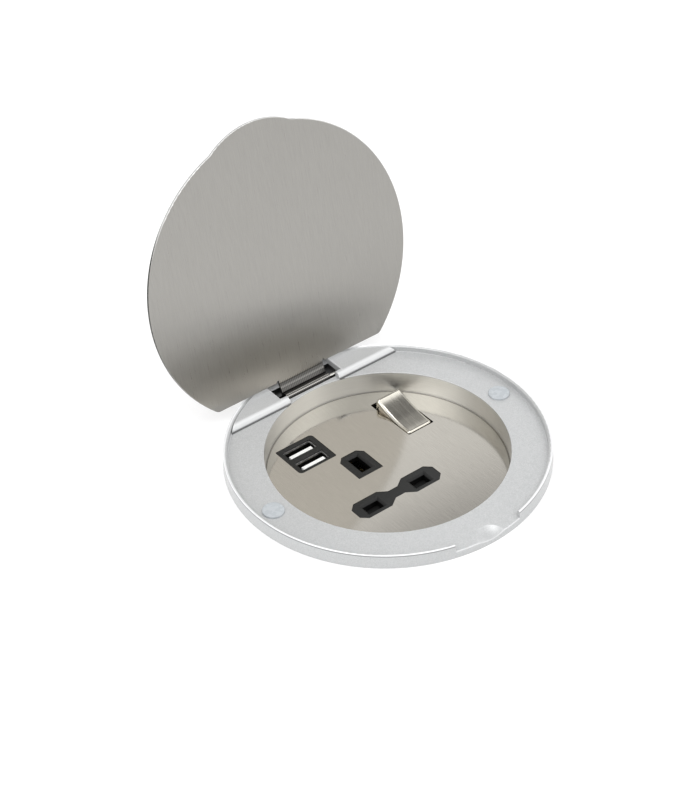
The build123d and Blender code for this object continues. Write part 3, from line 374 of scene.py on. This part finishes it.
open_tilt = math.radians(11.7)
lid_up = (0.0, math.sin(open_tilt), math.cos(open_tilt))
M = {
    "silver_paint": silver_paint(),
    "lid_steel": brushed("lid_steel", (0.36, 0.35, 0.331), 0.31,
                         grain_straight((open_tilt, 0, 0), (4200, 300, 120), (1, 0, 0)),
                         tint=0.08, aniso=0.94, painted_light_layer=tongue_reflections),
    "plate_steel": brushed("plate_steel", (0.575, 0.55, 0.50), 0.11,
                           grain_straight((0, 0, 0), (4200, 130, 300), (1, 0, 0)),
                           tint=0.08, painted_light_layer=seam_shade),
    "liner_steel": brushed("liner_steel", (0.66, 0.657, 0.638), 0.40, grain_round, aniso=0.4),
    "rocker_steel": brushed("rocker_steel", (0.57, 0.545, 0.485), 0.16,
                            grain_straight((0, 0, 0), (2600, 110, 110), (1, 0, 0)), tint=0.13),
    "zinc_steel": plain_metal("zinc_steel", (0.56, 0.57, 0.55), 0.35),
    "pin_steel": plain_metal("pin_steel", (0.62, 0.61, 0.58), 0.2),
    "black_plastic": plastic("black_plastic", (0.009, 0.0092, 0.0086), 0.42, spec=0.35, deep=(-6.8, 0.2)),
    "white_plastic": plastic("white_plastic", (0.82, 0.82, 0.80), 0.4),
    "beige_plastic": plastic("beige_plastic", (0.46, 0.40, 0.31), 0.45),
    "nylon": plastic("nylon", (0.66, 0.64, 0.56), 0.5),
    "grey_plastic": plastic("grey_plastic", (0.10, 0.10, 0.105), 0.5),
    "clear_silicone": clear_silicone(),
    "black_rubber": plastic("black_rubber", (0.02, 0.02, 0.021), 0.7, spec=0.3),
    "brass": plain_metal("brass", (0.72, 0.54, 0.25), 0.28),
    "silver_contact": plain_metal("silver_contact", (0.68, 0.53, 0.28), 0.3),
    # painted shade: the USB shell is darkened below the port mouths
    "usb_shell": plain_metal("usb_shell", (0.78, 0.78, 0.77), 0.4, deep=(-7.95, 0.06)),
    "gold_contact": plain_metal("gold_contact", (0.85, 0.64, 0.26), 0.2),
    "circuit_board": plastic("circuit_board", (0.015, 0.12, 0.05), 0.3),
    "transformer": plastic("transformer", (0.66, 0.44, 0.05), 0.35),
    "capacitor": plastic("capacitor", (0.025, 0.027, 0.03), 0.25),
    "chip": plastic("chip", (0.02, 0.02, 0.02), 0.5),
    "spring_steel": plain_metal("spring_steel", (0.45, 0.45, 0.44), 0.3),
}
slot_of = {s["node"]: s["material_slot"] for s in frame["record"]["subparts"]}
for name, ob in NODES.items():
    ob.data.materials.clear()
    ob.data.materials.append(M[slot_of[name]])


# ---------------------------------------------------------------------------
# shutter spring: a wound wire in the CAD spring's box
# ---------------------------------------------------------------------------
def shutter_coil():
    lo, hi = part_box("shutter_spring")
    wire, turns, sides, steps = 0.16 * MM, 11, 10, 28
    radius = (hi[0] - lo[0]) / 2 - wire
    cx, cz = (lo[0] + hi[0]) / 2, (lo[2] + hi[2]) / 2
    y0, y1 = lo[1] + wire, hi[1] - wire
    n = turns * steps
    verts, faces = [], []
    for i in range(n + 1):
        a = 2 * math.pi * i / steps
        # the end turns lie flat, so the pitch eases in and out
        t = min(max((i / steps - 0.75) / (turns - 1.5), 0.0), 1.0)
        y = y0 + (y1 - y0) * t
        for k in range(sides):
            b = 2 * math.pi * k / sides
            d = radius + wire * math.cos(b)
            verts.append((cx + d * math.cos(a), y + wire * math.sin(b), cz + d * math.sin(a)))
    for i in range(n):
        for k in range(sides):
            p, q = i * sides + k, i * sides + (k + 1) % sides
            faces.append((p, q, q + sides, p + sides))
    faces.append(tuple(range(sides)))
    faces.append(tuple(n * sides + k for k in reversed(range(sides))))
    me = bpy.data.meshes.new("shutter_spring_coil")
    me.from_pydata(verts, [], faces)
    me.validate()
    for poly in me.polygons:
        poly.use_smooth = True
    ob = bpy.data.objects.new("shutter_spring_coil", me)
    bpy.context.scene.collection.objects.link(ob)
    me.materials.append(M["spring_steel"])
    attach(ob, "base")
    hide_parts("shutter_spring")
    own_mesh(ob)


shutter_coil()

# ---------------------------------------------------------------------------
# floor: a pale sheet with a round cut-out that the body drops into
# ---------------------------------------------------------------------------
def floor():
    me = bpy.data.meshes.new("floor")
    n, r0 = 128, 0.056
    rings = [r0, 0.2, 0.8, 3.0]
    verts, faces = [], []
    for r in rings:
        for i in range(n):
            a = 2 * math.pi * i / n
            verts.append((r * math.cos(a), r * math.sin(a), -0.00005))
    for k in range(len(rings) - 1):
        for i in range(n):
            j = (i + 1) % n
            faces.append((k * n + i, k * n + j, (k + 1) * n + j, (k + 1) * n + i))
    me.from_pydata(verts, [], faces)
    ob = bpy.data.objects.new("floor", me)
    bpy.context.scene.collection.objects.link(ob)
    m = Mat("floor")
    grain = m.noise(m.coord(), 60.0, 2.0, 0.5)
    m.set(Base_Color=m.mix(m.span(grain, 0.3, 0.7, 0.0, 1.0), (0.50, 0.50, 0.50), (0.52, 0.52, 0.52)),
          Roughness=0.85)
    m.bsdf.inputs["Specular IOR Level"].default_value = 0.2
    m.bsdf.inputs["Emission Color"].default_value = (1.0, 1.0, 1.0, 1.0)
    m.bsdf.inputs["Emission Strength"].default_value = 0.45
    me.materials.append(m.mat)


floor()

# ---------------------------------------------------------------------------
# light
# ---------------------------------------------------------------------------
world = bpy.data.worlds.new("studio")
bpy.context.scene.world = world
world.use_nodes = True
bg = world.node_tree.nodes["Background"]
bg.inputs["Strength"].default_value = 1.0


def sky(nt, base, patches):
    """A studio as light by direction: a base level and soft-edged patches, each
    (azimuth, elevation, radius, edge, level) in degrees, laid over it in turn."""
    coord = nt.nodes.new("ShaderNodeTexCoord")
    level = nt.nodes.new("ShaderNodeValue")
    level.outputs[0].default_value = base
    out = level.outputs[0]
    for azim, elev, radius, edge, to in patches:
        a, e = math.radians(azim), math.radians(elev)
        dot = nt.nodes.new("ShaderNodeVectorMath")
        dot.operation = "DOT_PRODUCT"
        dot.inputs[1].default_value = (math.cos(a) * math.cos(e), math.sin(a) * math.cos(e), math.sin(e))
        nt.links.new(coord.outputs["Generated"], dot.inputs[0])
        fade = nt.nodes.new("ShaderNodeMapRange")
        fade.interpolation_type = "SMOOTHSTEP"
        fade.inputs["From Min"].default_value = math.cos(math.radians(radius + edge))
        fade.inputs["From Max"].default_value = math.cos(math.radians(max(radius - edge, 0.0)))
        nt.links.new(dot.outputs["Value"], fade.inputs["Value"])
        mix = nt.nodes.new("ShaderNodeMix")
        mix.data_type = "FLOAT"
        nt.links.new(fade.outputs["Result"], mix.inputs[0])
        nt.links.new(out, mix.inputs[2])
        mix.inputs[3].default_value = to
        out = mix.outputs[0]
    nt.links.new(out, bg.inputs["Color"])


sky(world.node_tree, 1.0, [
    (-35.0, 60.0, 24.0, 8.0, 2.1),
    (178.0, 22.0, 15.0, 5.0, 2.8),
    (43.0, 19.0, 9.0, 4.0, 2.5),
    (-62.0, 15.0, 10.0, 2.0, 3.2),
    (90.0, 82.0, 18.0, 6.0, 1.4),
    (41.4, 52.6, 12.3, 0.8, 0.4),
    (23.0, 62.0, 12.0, 3.0, 0.2),
])


def area(name, at, look, size, power, size_y=None):
    data = bpy.data.lights.new(name, "AREA")
    data.shape = "RECTANGLE"
    data.size = size
    data.size_y = size_y or size
    data.energy = power
    ob = bpy.data.objects.new(name, data)
    bpy.context.scene.collection.objects.link(ob)
    ob.location = at
    ob.rotation_euler = (Vector(look) - Vector(at)).to_track_quat("-Z", "Y").to_euler()
    return ob


area("key", (-0.45, -0.2, 0.75), (0, 0, 0), 0.5, 2.0)
area("top", (0.12, 0.16, 0.95), (0, 0, 0), 0.25, 1.2)

# ---------------------------------------------------------------------------
# camera, at the photograph's viewing angle
# ---------------------------------------------------------------------------
az, el, roll = math.radians(-36.632), math.radians(38.675), math.radians(-2.26)
dist, off_x, off_y, focal_px = 720.901, -13.961, 17.991, 1938.873
back = Vector((math.sin(az) * math.cos(el), -math.cos(az) * math.cos(el), math.sin(el)))
right0 = Vector((math.cos(az), math.sin(az), 0))
up0 = back.cross(right0)
right = math.cos(roll) * right0 + math.sin(roll) * up0
up = -math.sin(roll) * right0 + math.cos(roll) * up0
place = (back * dist + right * off_x + up * off_y + Vector((0, 0, 2.9))) * MM
cam_data = bpy.data.cameras.new("camera")
cam_data.sensor_fit = "VERTICAL"
cam_data.sensor_height = 36.0
cam_data.lens = focal_px / 800.0 * 36.0
cam_data.clip_start = 0.01
cam = bpy.data.objects.new("camera", cam_data)
bpy.context.scene.collection.objects.link(cam)
rot = Matrix((right, up, back)).transposed()
cam.matrix_world = Matrix.Translation(place) @ rot.to_4x4()
bpy.context.scene.camera = cam
bpy.context.scene.view_settings.view_transform = "Standard"
